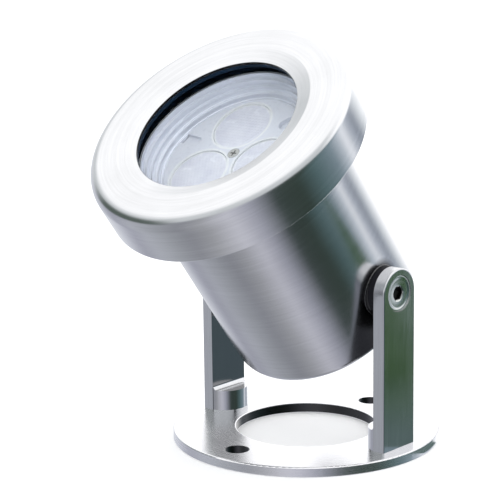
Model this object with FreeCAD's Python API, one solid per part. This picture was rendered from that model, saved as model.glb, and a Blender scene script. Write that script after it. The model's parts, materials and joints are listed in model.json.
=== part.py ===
import FreeCAD, Part
import math
import os

# Submersible three-LED spotlight on a ring foot.
#
# Row frame (millimetres): the origin is the centre of the foot ring's underside, +Z is up, and the
# two upright arms stand on the X axis. The lamp head tilts about the X direction, towards -Y.
# Head parts are drawn upright in the lamp frame: its origin is the pivot point, its +Z ("w") is the
# optical axis towards the glass. place_head() then tilts and lifts them into the row frame.

V = FreeCAD.Vector

# ---------------------------------------------------------------- driving dimensions: optics
LENS_D = 19.0             # collimator lens, front diameter
LENS_WEB = 2.0            # web of the holder between two neighbouring lens seats
LENS_FLANGE_T = 1.5
LENS_BULGE = 0.62         # share of the flare reached halfway up the lens
LENS_FOOT_D = 8.4         # lens diameter next to the LED
LENS_H = 11.0             # holder face down to the LED board
LENS_SINK = 0.3           # lens faces lie this far below the holder face
HOLDER_RIM = 1.4          # holder material outside the lens seats
HOLDER_T = 2.2
CUP_WALL = 0.7
LENS_PHASE = 112.0        # direction of the first lens, degrees from +X in the lamp frame
NOTCH_W = 4.0             # shallow notches in the holder's rim, over the board screws
NOTCH_DEPTH = 1.2
LED_BASE_D = 7.8
LED_BASE_T = 1.2
LED_DOME_D = 5.2
BOARD_T = 1.6
REFLECTOR_W = 5.0         # radial width of the stepped reflector ring
REFLECTOR_STEPS = 4
REFLECTOR_FLOOR = 0.3     # lowest tread, below the holder face
REFLECTOR_SKIN = 1.1
GLASS_T = 3.0
GLASS_OVERLAP = 2.1       # glass radius beyond the housing tube
LENS_TO_RIM = 6.9         # holder face below the housing's front rim

# ---------------------------------------------------------------- driving dimensions: lamp head
HEAD_FRONT = 68.7         # pivot to front face of the bezel
HEAD_REAR = 16.2          # pivot to rear face of the housing
HOUSING_WALL = 2.9
HOUSING_STEP = 1.0        # shoulder that the heat sink seats on
REAR_WALL = 4.0
REAR_EDGE_R = 3.0
BEZEL_LEN = 16.2
BEZEL_WALL = 6.4
BEZEL_EDGE_R = 4.3
BEZEL_REAR_CHAMFER = 0.5
THREAD_STEP = 1.9         # thread radius beyond the glass pocket
THREAD_RELIEF = 0.5       # bezel thread runs on past the housing's front rim
COLLAR_RECESS = 0.8       # housing collar sits this far inside the bezel's rear edge
WINDOW_REVEAL = 2.0       # window radius is smaller than the housing bore by this
BEVEL_W = 4.8
BEVEL_DEPTH = 1.45
WINDOW_LAND = 1.0
FRONT_GASKET_T = 1.5
GASKET_SKIRT_T = 0.8      # gasket's skirt round the glass edge
RIM_GAP = 0.2             # glass stands this far off the housing rim, on its O-ring
ORING_D = 1.8
HEAT_SINK_T = 8.0
SINK_GROOVE_DEPTH = 3.0
SINK_GROOVE_W = 1.6
SINK_GROOVE_PITCH = 3.6
DRIVER_BOARD_D = 44.0
STANDOFF_H = 20.0
STANDOFF_AF = 5.5
STANDOFF_R = 18.0         # distance of the standoffs from the axis

# ---------------------------------------------------------------- driving dimensions: pivot, bracket
TILT = 36.8               # rest tilt of the head, degrees from upright
PIVOT_H = 52.0
BOSS_D = 15.5
BOSS_PROUD = 0.4
BOSS_LEN = 7.4
BOSS_FLOOR = 2.0
WASHER_T = 2.0            # nylon friction washer
PIVOT_PLAY = 0.1          # axial play between boss and washer
PIVOT_SCREW_D = 6.0
PIVOT_HEAD_D = 11.2
PIVOT_HEAD_RIM = 0.5
PIVOT_HEAD_SINK = 0.25
SOCKET_AF = 4.0
SOCKET_DEPTH = 2.2
RUN_CLEAR = 0.05
ARM_W = 15.5
ARM_T = 4.0
ARM_EDGE_R = 0.5
FOOT_DEPTH = 10.0
FOOT_H = 6.5
FOOT_ROOT_R = 1.5
BASE_T = 3.0
BASE_RIM = 5.1            # ring outside the arms' outer faces
RING_W = 20.0
RING_EDGE_R = 0.4
FIX_HOLE_D = 7.6
FIX_HOLE_INSET = 9.5      # fixing holes, from the ring's outer edge
FOOT_SCREW_D = 4.0
FOOT_SCREW_HEAD_D = 8.0
FOOT_SCREW_BITE = 5.0
FOOT_SOCKET_AF = 2.4
FOOT_SOCKET_DEPTH = 1.8

# ---------------------------------------------------------------- driving dimensions: cable gland
CABLE_D = 6.5
GLAND_THREAD_D = 12.4
GLAND_AF = 16.0
GLAND_WASHER_T = 1.0
GLAND_WASHER_W = 2.2
GLAND_FLANGE_T = 4.5
GLAND_NECK_D = 13.6
GLAND_NECK_L = 6.0
GLAND_NUT_L = 9.6
GLAND_NUT_GAP = 0.4
NUT_MOUTH_WALL = 2.0
NUT_DOME_BULGE = 1.0
GLAND_INSERT_D = 10.4
GLAND_INSERT_L = 8.0
LOCKNUT_T = 4.0
LOCKNUT_STUB = 1.5

# ---------------------------------------------------------------- small hardware
M3_D = 3.0
M3_HEAD_D = 5.5
M3_HEAD_H = 2.0
M3_BITE = 5.0
CROSS_LENGTH = 0.6        # cross slot, as shares of the head's diameter
CROSS_WIDTH = 0.125
SCREW_CLEAR = 0.1         # radial clearance of a screw in a through hole
LENS_SCREW_D = 2.2
LENS_SCREW_HEAD_D = 3.8
WIRE_D = 1.4
WIRE_R = 16.0             # distance of the LED wires from the axis
WIRE_ANGLE = 200.0
WIRE_SPREAD = 8.0         # degrees between the two wires
FIT_GAP = 0.1             # loose fit between pieces of the head
OVERCUT = 1.0             # cutting bodies run past the face they cut
EPS = 1e-6                # tolerance for picking edges by position

# ---------------------------------------------------------------- driver components
CORE_L = 14.0             # transformer core
CORE_W = 12.0
CORE_H = 11.0
CORE_FLANGE_T = 2.0
WINDING_L = 14.0
WINDING_W = 5.8
WINDING_GAP = 0.1
CAPACITOR_D = 8.0
CAPACITOR_H = 12.0
CAPACITOR_EDGE_R = 0.6
CHOKE_D = 9.0
CHOKE_H = 7.0
CHOKE_FLANGE_T = 1.2
CHOKE_WINDING_D = 7.8
RECTIFIER_SIDE = 6.0
RECTIFIER_H = 2.5
CHIP_L = 6.0
CHIP_W = 5.0
CHIP_H = 1.6
TERMINAL_L = 7.0
TERMINAL_W = 8.0
TERMINAL_H = 8.0
WIRE_ENTRY_H = 4.0        # wires start this far above the driver board
WIRE_TAIL = 0.6           # wires end this far above the LED board
CORE_AT = V(3.0, 3.0, 0)
CAPACITOR_AT = V(-6.5, -11.5, 0)
CHOKE_AT = V(8.0, -10.5, 0)
RECTIFIER_AT = V(-9.5, 3.0, 0)
CHIP_AT = V(0, 14.5, 0)

# ---------------------------------------------------------------- derived sizes
lens_r = LENS_D / 2
lens_pitch_r = (LENS_D + LENS_WEB) / (2 * math.sin(math.radians(60)))
module_r = lens_pitch_r + lens_r + HOLDER_RIM
bore_r = module_r + REFLECTOR_W
inner_r = bore_r - HOUSING_STEP
housing_r = bore_r + HOUSING_WALL
glass_r = housing_r + GLASS_OVERLAP
pocket_r = glass_r + GASKET_SKIRT_T + FIT_GAP
thread_r = pocket_r + THREAD_STEP
bezel_r = thread_r + BEZEL_WALL
window_r = bore_r - WINDOW_REVEAL
bevel_r = window_r + BEVEL_W
oring_r = (housing_r + glass_r) / 2 - FIT_GAP

arm_in_x = housing_r + BOSS_PROUD + PIVOT_PLAY + WASHER_T
arm_out_x = arm_in_x + ARM_T
foot_in_x = arm_out_x - FOOT_DEPTH
foot_screw_x = arm_out_x - FOOT_DEPTH / 2
base_r = arm_out_x + BASE_RIM
base_bore_r = base_r - RING_W
fix_hole_y = base_r - FIX_HOLE_INSET

# Levels along the optical axis, from the front face back to the rear wall.
w_face = HEAD_FRONT
w_bevel = w_face - BEVEL_DEPTH
w_lip = w_bevel - WINDOW_LAND
w_glass_top = w_lip - FRONT_GASKET_T
w_glass_bottom = w_glass_top - GLASS_T
w_rim = w_glass_bottom - RIM_GAP
w_bezel_rear = w_face - BEZEL_LEN
w_collar_rear = w_bezel_rear + COLLAR_RECESS
w_lens = w_rim - LENS_TO_RIM
w_board = w_lens - LENS_H
w_sink = w_board - BOARD_T
w_shoulder = w_sink - HEAT_SINK_T
w_driver = w_shoulder - STANDOFF_H
w_rear = -HEAD_REAR
w_floor = w_rear + REAR_WALL

LENS_ANGLES = [LENS_PHASE + 120 * i for i in range(3)]
NOTCH_ANGLES = [angle + 60 for angle in LENS_ANGLES]
notch_r = module_r - HOLDER_RIM - M3_HEAD_D / 2
STANDOFF_ANGLES = [30 + 120 * i for i in range(3)]


# ---------------------------------------------------------------- helpers
def polar(radius, angle, w=0.0):
    """Point at a radius and an angle in degrees about the lamp axis."""
    return V(radius * math.cos(math.radians(angle)), radius * math.sin(math.radians(angle)), w)


def rod(radius, w_low, w_high, centre=V(0, 0, 0)):
    """Upright cylinder between two levels."""
    return Part.makeCylinder(radius, w_high - w_low, V(centre.x, centre.y, w_low))


def drill(radius, w_low, w_high, centre=V(0, 0, 0)):
    """Cutting rod that runs past both levels."""
    return rod(radius, w_low - OVERCUT, w_high + OVERCUT, centre)


def cone(r_low, r_high, w_low, w_high, centre=V(0, 0, 0)):
    """Upright truncated cone between two levels."""
    return Part.makeCone(r_low, r_high, w_high - w_low, V(centre.x, centre.y, w_low))


def x_rod(radius, x_a, x_b, z=0.0):
    """Cylinder along X between two X positions."""
    return Part.makeCylinder(radius, abs(x_b - x_a), V(min(x_a, x_b), 0, z), V(1, 0, 0))


def x_drill(radius, x_a, x_b, z=0.0):
    """Cutting cylinder along X that runs past both X positions."""
    return x_rod(radius, x_a - OVERCUT, x_b + OVERCUT, z)


def hexagon(across_flats, w_low, w_high, centre=V(0, 0, 0)):
    """Upright hexagonal prism between two levels."""
    corner_r = across_flats / math.sqrt(3)
    points = [V(centre.x, centre.y, w_low) + polar(corner_r, 60 * i) for i in range(7)]
    return Part.Face(Part.makePolygon(points)).extrude(V(0, 0, w_high - w_low))


def block(size_x, size_y, w_low, w_high, centre=V(0, 0, 0)):
    """Upright box, centred on a point of the XY plane."""
    corner = V(centre.x - size_x / 2, centre.y - size_y / 2, w_low)
    return Part.makeBox(size_x, size_y, w_high - w_low, corner)


def turned(*profile):
    """Solid of revolution about the lamp axis.

    Each entry is a corner (radius, level), or an arc (middle corner, end corner)
    that starts at the corner before it.
    """
    edges = []
    first = here = V(profile[0][0], 0, profile[0][1])
    for entry in profile[1:]:
        if isinstance(entry[0], tuple):
            middle, end = (V(r, 0, w) for r, w in entry)
            edges.append(Part.Arc(here, middle, end).toShape())
        else:
            end = V(entry[0], 0, entry[1])
            edges.append(Part.makeLine(here, end))
        here = end
    edges.append(Part.makeLine(here, first))
    face = Part.Face(Part.Wire(edges))
    return face.revolve(V(0, 0, 0), V(0, 0, 1), 360)


def rounded(r_corner, w_corner, radius, r_side, w_side):
    """Middle point of a quarter-round at an outer corner; the sides give the arc's centre side."""
    centre_r = r_corner + r_side * radius
    centre_w = w_corner + w_side * radius
    reach = radius * math.sqrt(0.5)
    return (centre_r - r_side * reach, centre_w - w_side * reach)


def pan_screw(centre, w_seat, bite, up=1, thread_d=M3_D, head_d=M3_HEAD_D):
    """Cross-slotted pan-head screw: the head stands on w_seat, on its upper (up=1) or lower side."""
    head = rod(head_d / 2, *sorted((w_seat, w_seat + up * M3_HEAD_H)), centre)
    shank = rod(thread_d / 2, *sorted((w_seat, w_seat - up * bite)), centre)
    slot_low, slot_high = sorted((w_seat + up * M3_HEAD_H, w_seat + up * M3_HEAD_H / 2))
    slot_l, slot_w = head_d * CROSS_LENGTH, head_d * CROSS_WIDTH
    cross = block(slot_l, slot_w, slot_low, slot_high, centre)
    cross = cross.fuse(block(slot_w, slot_l, slot_low, slot_high, centre))
    return head.fuse(shank).cut(cross).removeSplitter()


def mirror_x(shape):
    return shape.mirror(V(0, 0, 0), V(1, 0, 0))


def place_head(shape):
    """Tilt a lamp-frame shape about the pivot axis and lift it to the pivot height."""
    placed = shape.copy()
    placed.rotate(V(0, 0, 0), V(1, 0, 0), TILT)
    placed.translate(V(0, 0, PIVOT_H))
    return placed


# ---------------------------------------------------------------- bracket
def fillet_edges(shape, radius, wanted):
    """Round the edges of a shape that the test function accepts."""
    return shape.makeFillet(radius, [edge for edge in shape.Edges if wanted(edge)])


def make_base_ring():
    """Flat foot ring with two fixing holes and two countersunk holes under the arms."""
    ring = turned((base_bore_r, 0), (base_r, 0), (base_r, BASE_T), (base_bore_r, BASE_T))
    rims = lambda edge: abs(edge.BoundBox.ZMax - BASE_T) < EPS and len(edge.Vertexes) == 1
    ring = fillet_edges(ring, RING_EDGE_R, rims)
    for side in (-1, 1):
        ring = ring.cut(drill(FIX_HOLE_D / 2, 0, BASE_T, V(0, side * fix_hole_y, 0)))
        ring = ring.cut(foot_screw(V(side * foot_screw_x, 0, 0)))
    return ring


def foot_screw(centre):
    """Countersunk screw driven up from the underside of the ring into an arm's foot."""
    head_depth = (FOOT_SCREW_HEAD_D - FOOT_SCREW_D) / 2
    head = cone(FOOT_SCREW_HEAD_D / 2, FOOT_SCREW_D / 2, 0, head_depth, centre)
    return head.fuse(rod(FOOT_SCREW_D / 2, head_depth, BASE_T + FOOT_SCREW_BITE, centre)).removeSplitter()


def make_foot_screws():
    screws = []
    for side in (-1, 1):
        centre = V(side * foot_screw_x, 0, 0)
        screws.append(foot_screw(centre).cut(hexagon(FOOT_SOCKET_AF, 0, FOOT_SOCKET_DEPTH, centre)))
    return Part.makeCompound(screws)


def make_arm():
    """Right-hand arm: a flat bar with a fully rounded top, on a round-nosed foot."""
    half_w = ARM_W / 2
    bar_outline = Part.Wire([
        Part.makeLine(V(arm_in_x, -half_w, BASE_T), V(arm_in_x, half_w, BASE_T)),
        Part.makeLine(V(arm_in_x, half_w, BASE_T), V(arm_in_x, half_w, PIVOT_H)),
        Part.Arc(V(arm_in_x, half_w, PIVOT_H), V(arm_in_x, 0, PIVOT_H + half_w),
                 V(arm_in_x, -half_w, PIVOT_H)).toShape(),
        Part.makeLine(V(arm_in_x, -half_w, PIVOT_H), V(arm_in_x, -half_w, BASE_T)),
    ])
    bar = Part.Face(bar_outline).extrude(V(ARM_T, 0, 0))

    nose_x = foot_in_x + half_w
    foot_outline = Part.Wire([
        Part.makeLine(V(arm_out_x, half_w, BASE_T), V(nose_x, half_w, BASE_T)),
        Part.Arc(V(nose_x, half_w, BASE_T), V(foot_in_x, 0, BASE_T), V(nose_x, -half_w, BASE_T)).toShape(),
        Part.makeLine(V(nose_x, -half_w, BASE_T), V(arm_out_x, -half_w, BASE_T)),
        Part.makeLine(V(arm_out_x, -half_w, BASE_T), V(arm_out_x, half_w, BASE_T)),
    ])
    foot = Part.Face(foot_outline).extrude(V(0, 0, FOOT_H))
    arm = bar.fuse(foot).removeSplitter()

    foot_top = BASE_T + FOOT_H

    def root(edge):
        box = edge.BoundBox
        return (abs(box.XMin - arm_in_x) < EPS and abs(box.XMax - arm_in_x) < EPS
                and abs(box.ZMin - foot_top) < EPS and abs(box.ZMax - foot_top) < EPS)

    def outer_face_edge(edge):
        box = edge.BoundBox
        return abs(box.XMin - arm_out_x) < EPS and box.ZMax > BASE_T + EPS

    arm = fillet_edges(arm, FOOT_ROOT_R, root)
    arm = fillet_edges(arm, ARM_EDGE_R, outer_face_edge)

    arm = arm.cut(x_drill(PIVOT_SCREW_D / 2 + RUN_CLEAR, arm_in_x, arm_out_x, PIVOT_H))
    seat = pivot_head(RUN_CLEAR, PIVOT_HEAD_SINK)
    seat.translate(V(0, 0, PIVOT_H))
    arm = arm.cut(seat)
    return arm.cut(rod(FOOT_SCREW_D / 2, BASE_T, BASE_T + FOOT_SCREW_BITE, V(foot_screw_x, 0, 0)))


def make_spacer_washer():
    washer = x_rod(BOSS_D / 2, arm_in_x - WASHER_T, arm_in_x, PIVOT_H)
    return washer.cut(x_rod(PIVOT_SCREW_D / 2 + RUN_CLEAR, arm_in_x - WASHER_T, arm_in_x, PIVOT_H))


# ---------------------------------------------------------------- pivot (lamp frame)
def pivot_head(grow, top_gap):
    """Countersunk head of the pivot screw; grow widens it into the seat in the arm."""
    rim_x = arm_out_x - PIVOT_HEAD_SINK
    cone_x = rim_x - PIVOT_HEAD_RIM
    head_r = PIVOT_HEAD_D / 2 + grow
    shank_r = PIVOT_SCREW_D / 2
    cone_depth = PIVOT_HEAD_D / 2 - shank_r
    head = Part.makeCone(shank_r, head_r, cone_depth, V(cone_x - cone_depth - grow, 0, 0), V(1, 0, 0))
    return head.fuse(x_rod(head_r, cone_x - grow, rim_x + top_gap)).removeSplitter()


def make_pivot_screw():
    """Countersunk socket screw through the right arm into its boss."""
    tip_x = boss_inner_x() + BOSS_FLOOR + FIT_GAP
    shank = x_rod(PIVOT_SCREW_D / 2, tip_x, arm_out_x - PIVOT_HEAD_SINK - PIVOT_HEAD_RIM)
    screw = pivot_head(0, 0).fuse(shank)
    socket = hexagon(SOCKET_AF, 0, SOCKET_DEPTH + OVERCUT)
    socket.rotate(V(0, 0, 0), V(0, 1, 0), 90)
    socket.translate(V(arm_out_x - PIVOT_HEAD_SINK - SOCKET_DEPTH, 0, 0))
    return screw.cut(socket).removeSplitter()


def boss_inner_x():
    return housing_r + BOSS_PROUD - BOSS_LEN


def make_pivot_boss():
    """Blind tapped boss, welded through the housing wall."""
    outer_x = housing_r + BOSS_PROUD
    boss = x_rod(BOSS_D / 2, boss_inner_x(), outer_x)
    return boss.cut(x_rod(PIVOT_SCREW_D / 2, boss_inner_x() + BOSS_FLOOR, outer_x + OVERCUT))


# ---------------------------------------------------------------- housing and bezel (lamp frame)
def make_housing():
    """Turned cup: closed rear end, heat-sink shoulder, and a threaded collar at the front."""
    housing = turned(
        (GLAND_THREAD_D / 2, w_rear),
        (housing_r - REAR_EDGE_R, w_rear),
        (rounded(housing_r, w_rear, REAR_EDGE_R, -1, 1), (housing_r, w_rear + REAR_EDGE_R)),
        (housing_r, w_collar_rear),
        (thread_r, w_collar_rear),
        (thread_r, w_rim),
        (bore_r, w_rim),
        (bore_r, w_shoulder),
        (inner_r, w_shoulder),
        (inner_r, w_floor),
        (GLAND_THREAD_D / 2, w_floor),
    )
    groove_depth = ORING_D - RIM_GAP
    groove_outer = rod(oring_r + ORING_D / 2, w_rim - groove_depth, w_rim + OVERCUT)
    groove_inner = rod(oring_r - ORING_D / 2, w_rim - groove_depth, w_rim + OVERCUT)
    housing = housing.cut(groove_outer.cut(groove_inner))
    for side in (-1, 1):
        housing = housing.cut(x_rod(BOSS_D / 2, side * boss_inner_x(), side * (housing_r + BOSS_PROUD)))
    return housing


def make_bezel_ring():
    """Threaded front ring with a rounded rim and a shallow bevel round the window."""
    w_thread_top = w_rim + THREAD_RELIEF
    return turned(
        (window_r, w_lip),
        (window_r, w_bevel),
        (bevel_r, w_face),
        (bezel_r - BEZEL_EDGE_R, w_face),
        (rounded(bezel_r, w_face, BEZEL_EDGE_R, -1, -1), (bezel_r, w_face - BEZEL_EDGE_R)),
        (bezel_r, w_bezel_rear + BEZEL_REAR_CHAMFER),
        (bezel_r - BEZEL_REAR_CHAMFER, w_bezel_rear),
        (thread_r, w_bezel_rear),
        (thread_r, w_thread_top),
        (pocket_r, w_thread_top),
        (pocket_r, w_lip),
    )


def make_front_gasket():
    """Angle-section gasket: a flat lip over the glass and a skirt round its edge."""
    inner = window_r + 3 * FIT_GAP
    skirt_r = glass_r + GASKET_SKIRT_T
    return turned((inner, w_glass_top), (glass_r, w_glass_top), (glass_r, w_glass_bottom),
                  (skirt_r, w_glass_bottom), (skirt_r, w_lip), (inner, w_lip))


def make_front_glass():
    """Toughened glass disc with a small ground chamfer."""
    chamfer = GLASS_T / 10
    return turned(
        (0, w_glass_bottom), (glass_r - chamfer, w_glass_bottom), (glass_r, w_glass_bottom + chamfer),
        (glass_r, w_glass_top - chamfer), (glass_r - chamfer, w_glass_top), (0, w_glass_top),
    )


def make_glass_oring():
    ring_w = w_glass_bottom - ORING_D / 2
    return Part.makeTorus(oring_r, ORING_D / 2, V(0, 0, ring_w))


# ---------------------------------------------------------------- optics (lamp frame)
def make_reflector_ring():
    """Stepped ring that stands on the heat sink and surrounds the lens holder."""
    outer = bore_r - FIT_GAP
    skin_r = outer - REFLECTOR_SKIN
    floor_w = w_lens - REFLECTOR_FLOOR
    floor_r = module_r + 2 * FIT_GAP
    top_r = outer - REFLECTOR_SKIN / 2
    tread = (top_r - floor_r) / REFLECTOR_STEPS
    drop = (w_rim - floor_w) / REFLECTOR_STEPS
    profile = [(outer, w_sink), (outer, w_rim), (top_r, w_rim)]
    for step in range(1, REFLECTOR_STEPS + 1):
        profile.append((top_r - (step - 1) * tread, w_rim - step * drop))
        profile.append((top_r - step * tread, w_rim - step * drop))
    profile += [(floor_r, floor_w - REFLECTOR_SKIN), (skin_r, floor_w - REFLECTOR_SKIN), (skin_r, w_sink)]
    return turned(*profile)


def lens_solid(grow=0.0):
    """Collimator lens upright on the axis; grow widens it into its pocket in the holder."""
    top = w_lens - LENS_SINK
    shoulder_r = lens_r - CUP_WALL
    foot_w = w_board + LED_BASE_T + FIT_GAP
    flange_w = top - LENS_FLANGE_T
    middle_w = (foot_w + flange_w) / 2
    middle_r = LENS_FOOT_D / 2 + (shoulder_r - LENS_FOOT_D / 2) * LENS_BULGE
    return turned(
        (0, foot_w), (LENS_FOOT_D / 2 + grow, foot_w),
        ((middle_r + grow, middle_w), (shoulder_r + grow, flange_w)),
        (lens_r + grow, flange_w), (lens_r + grow, top), (0, top),
    )


def make_lens(angle):
    """One collimator: hollow under the LED dome, shallow dimple in front."""
    foot_w = w_board + LED_BASE_T + FIT_GAP
    hollow_r = LED_DOME_D / 2 + 4 * FIT_GAP
    hollow = rod(hollow_r, foot_w - OVERCUT, w_board + LED_BASE_T + LED_DOME_D / 2 + 4 * FIT_GAP)
    lens = lens_solid().cut(hollow)
    lens.translate(polar(lens_pitch_r, angle))
    return lens


def make_lens_holder():
    """Three-cup holder with shallow notches in its rim and a centre screw."""
    plate_w = w_lens - HOLDER_T
    post_r = LENS_SCREW_HEAD_D / 2 + CUP_WALL
    holder = rod(module_r, plate_w, w_lens).fuse(rod(post_r, w_board, w_lens))
    cup_foot_r = LENS_FOOT_D / 2 + 2 * CUP_WALL
    for angle in LENS_ANGLES:
        cup = cone(cup_foot_r, lens_r, w_board, w_lens - HOLDER_T / 2)
        cup.translate(polar(lens_pitch_r, angle))
        holder = holder.fuse(cup)
    for angle in LENS_ANGLES:
        pocket = lens_solid(FIT_GAP)
        pocket = pocket.fuse(drill(lens_r + FIT_GAP, w_lens - LENS_SINK, w_lens))
        pocket = pocket.fuse(drill(LENS_FOOT_D / 2 + FIT_GAP, w_board, w_board + LED_BASE_T))
        pocket.translate(polar(lens_pitch_r, angle))
        holder = holder.cut(pocket)
    for angle in NOTCH_ANGLES:
        slot = block(module_r, NOTCH_W, w_lens - NOTCH_DEPTH, w_lens + OVERCUT, V(module_r / 2, 0, 0))
        slot = slot.fuse(rod(NOTCH_W / 2, w_lens - NOTCH_DEPTH, w_lens + OVERCUT))
        slot.translate(V(notch_r - M3_HEAD_D / 4, 0, 0))
        slot.rotate(V(0, 0, 0), V(0, 0, 1), angle)
        head_room = rod(M3_HEAD_D / 2 + FIT_GAP, w_board - OVERCUT, w_board + M3_HEAD_H + FIT_GAP)
        head_room.translate(polar(notch_r, angle))
        holder = holder.cut(slot).cut(head_room)
    holder = holder.cut(drill(LENS_SCREW_D / 2 + SCREW_CLEAR, w_board, w_lens))
    holder = holder.cut(rod(LENS_SCREW_HEAD_D / 2 + SCREW_CLEAR, w_lens - M3_HEAD_H, w_lens + OVERCUT))
    return holder.removeSplitter()


def make_led(angle):
    """LED: a flat base on the board, with a dome over the chip."""
    base = rod(LED_BASE_D / 2, w_board, w_board + LED_BASE_T)
    dome = Part.makeSphere(LED_DOME_D / 2, V(0, 0, w_board + LED_BASE_T))
    upper_half = rod(LED_DOME_D, w_board + LED_BASE_T / 2, w_board + LED_BASE_T + LED_DOME_D)
    led = base.fuse(dome.common(upper_half)).removeSplitter()
    led.translate(polar(lens_pitch_r, angle))
    return led


def wire_points():
    return [polar(WIRE_R, WIRE_ANGLE + side * WIRE_SPREAD / 2) for side in (-1, 1)]


def make_led_board():
    board = rod(module_r, w_sink, w_board).cut(drill(LENS_SCREW_D / 2 + SCREW_CLEAR, w_sink, w_board))
    for angle in NOTCH_ANGLES:
        board = board.cut(drill(M3_D / 2 + SCREW_CLEAR, w_sink, w_board, polar(notch_r, angle)))
    for point in wire_points():
        board = board.cut(drill(WIRE_D / 2 + FIT_GAP, w_sink, w_board, point))
    return board


def make_board_screws():
    bite = BOARD_T + M3_BITE
    return Part.makeCompound([pan_screw(polar(notch_r, angle), w_board, bite) for angle in NOTCH_ANGLES])


def make_lens_screw():
    bite = LENS_H - M3_HEAD_H + BOARD_T + M3_BITE
    return pan_screw(V(0, 0, 0), w_lens - M3_HEAD_H, bite, 1, LENS_SCREW_D, LENS_SCREW_HEAD_D)


# ---------------------------------------------------------------- heat sink and driver (lamp frame)
def make_heat_sink():
    """Aluminium disc with ring grooves behind, tapped for the board, lens and standoffs."""
    sink = rod(bore_r - FIT_GAP / 2, w_shoulder, w_sink)
    groove_r = STANDOFF_R - STANDOFF_AF
    while groove_r > 2 * M3_D:
        groove = rod(groove_r, w_shoulder - OVERCUT, w_shoulder + SINK_GROOVE_DEPTH)
        groove = groove.cut(drill(groove_r - SINK_GROOVE_W, w_shoulder, w_shoulder + SINK_GROOVE_DEPTH))
        sink = sink.cut(groove)
        groove_r -= SINK_GROOVE_PITCH
    for angle in NOTCH_ANGLES:
        sink = sink.cut(rod(M3_D / 2, w_sink - M3_BITE, w_sink, polar(notch_r, angle)))
    sink = sink.cut(rod(LENS_SCREW_D / 2, w_sink - M3_BITE, w_sink))
    for angle in STANDOFF_ANGLES:
        sink = sink.cut(rod(M3_D / 2, w_shoulder, w_shoulder + M3_BITE, polar(STANDOFF_R, angle)))
    return sink.cut(drill(2 * WIRE_D, w_shoulder, w_sink, polar(WIRE_R, WIRE_ANGLE)))


def make_standoffs():
    """Hexagonal spacers with a stud in the heat sink and a tapped lower end."""
    spacers = []
    for angle in STANDOFF_ANGLES:
        centre = polar(STANDOFF_R, angle)
        spacer = hexagon(STANDOFF_AF, w_driver, w_shoulder, centre)
        spacer = spacer.fuse(rod(M3_D / 2, w_shoulder, w_shoulder + M3_BITE, centre))
        spacers.append(spacer.cut(rod(M3_D / 2, w_driver, w_driver + M3_BITE, centre)))
    return Part.makeCompound(spacers)


def make_driver_screws():
    w_under = w_driver - BOARD_T
    return Part.makeCompound([pan_screw(polar(STANDOFF_R, angle), w_under, BOARD_T + M3_BITE, up=-1)
                              for angle in STANDOFF_ANGLES])


def make_driver_board():
    board = rod(DRIVER_BOARD_D / 2, w_driver - BOARD_T, w_driver)
    for angle in STANDOFF_ANGLES:
        hole = drill(M3_D / 2 + SCREW_CLEAR, w_driver - BOARD_T, w_driver, polar(STANDOFF_R, angle))
        board = board.cut(hole)
    return board


def make_transformer():
    """Ferrite core with the winding showing on two sides."""
    window_low, window_high = w_driver + CORE_FLANGE_T, w_driver + CORE_H - CORE_FLANGE_T
    core = block(CORE_L, CORE_W, w_driver, w_driver + CORE_H, CORE_AT)
    core = core.cut(block(WINDING_W + 2 * WINDING_GAP, 2 * CORE_W, window_low, window_high, CORE_AT))
    return core.fuse(block(WINDING_W, WINDING_L, window_low, window_high, CORE_AT))


def make_capacitor():
    top = w_driver + CAPACITOR_H
    can = rod(CAPACITOR_D / 2, w_driver, top, CAPACITOR_AT)
    return fillet_edges(can, CAPACITOR_EDGE_R, lambda edge: abs(edge.BoundBox.ZMin - top) < EPS)


def make_inductor():
    """Drum-core choke: two flanges and a wound middle."""
    low, high = w_driver + CHOKE_FLANGE_T, w_driver + CHOKE_H - CHOKE_FLANGE_T
    lower = rod(CHOKE_D / 2, w_driver, low, CHOKE_AT)
    upper = rod(CHOKE_D / 2, high, w_driver + CHOKE_H, CHOKE_AT)
    return lower.fuse(upper).fuse(rod(CHOKE_WINDING_D / 2, low, high, CHOKE_AT))


def make_rectifier():
    return block(RECTIFIER_SIDE, RECTIFIER_SIDE, w_driver, w_driver + RECTIFIER_H, RECTIFIER_AT)


def make_driver_chip():
    return block(CHIP_L, CHIP_W, w_driver, w_driver + CHIP_H, CHIP_AT)


def make_terminal_block():
    """Two-way terminal that holds the LED wires."""
    top = w_driver + TERMINAL_H
    terminal = block(TERMINAL_L, TERMINAL_W, w_driver, top, polar(WIRE_R, WIRE_ANGLE))
    for point in wire_points():
        terminal = terminal.cut(rod(WIRE_D / 2, w_driver + WIRE_ENTRY_H, top + OVERCUT, point))
    return terminal


def make_led_wires():
    return Part.makeCompound([rod(WIRE_D / 2, w_driver + WIRE_ENTRY_H, w_board + WIRE_TAIL, point)
                              for point in wire_points()])


# ---------------------------------------------------------------- cable gland (lamp frame)
w_gland_flange = w_rear - GLAND_WASHER_T
w_gland_neck = w_gland_flange - GLAND_FLANGE_T
w_gland_end = w_gland_neck - GLAND_NECK_L
w_gland_nut = w_gland_neck - GLAND_NUT_GAP
w_gland_tip = w_gland_nut - GLAND_NUT_L
cable_r = CABLE_D / 2
cable_pass_r = cable_r + 4 * FIT_GAP


def make_gland_body():
    body = rod(GLAND_THREAD_D / 2, w_gland_flange, w_floor + LOCKNUT_T + LOCKNUT_STUB)
    body = body.fuse(hexagon(GLAND_AF, w_gland_neck, w_gland_flange))
    body = body.fuse(rod(GLAND_NECK_D / 2, w_gland_end, w_gland_neck))
    body = body.cut(rod(cable_pass_r, w_gland_end - OVERCUT, 0))
    body = body.cut(rod(GLAND_INSERT_D / 2, w_gland_end - OVERCUT, w_gland_end + GLAND_INSERT_L))
    return body.removeSplitter()


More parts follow.
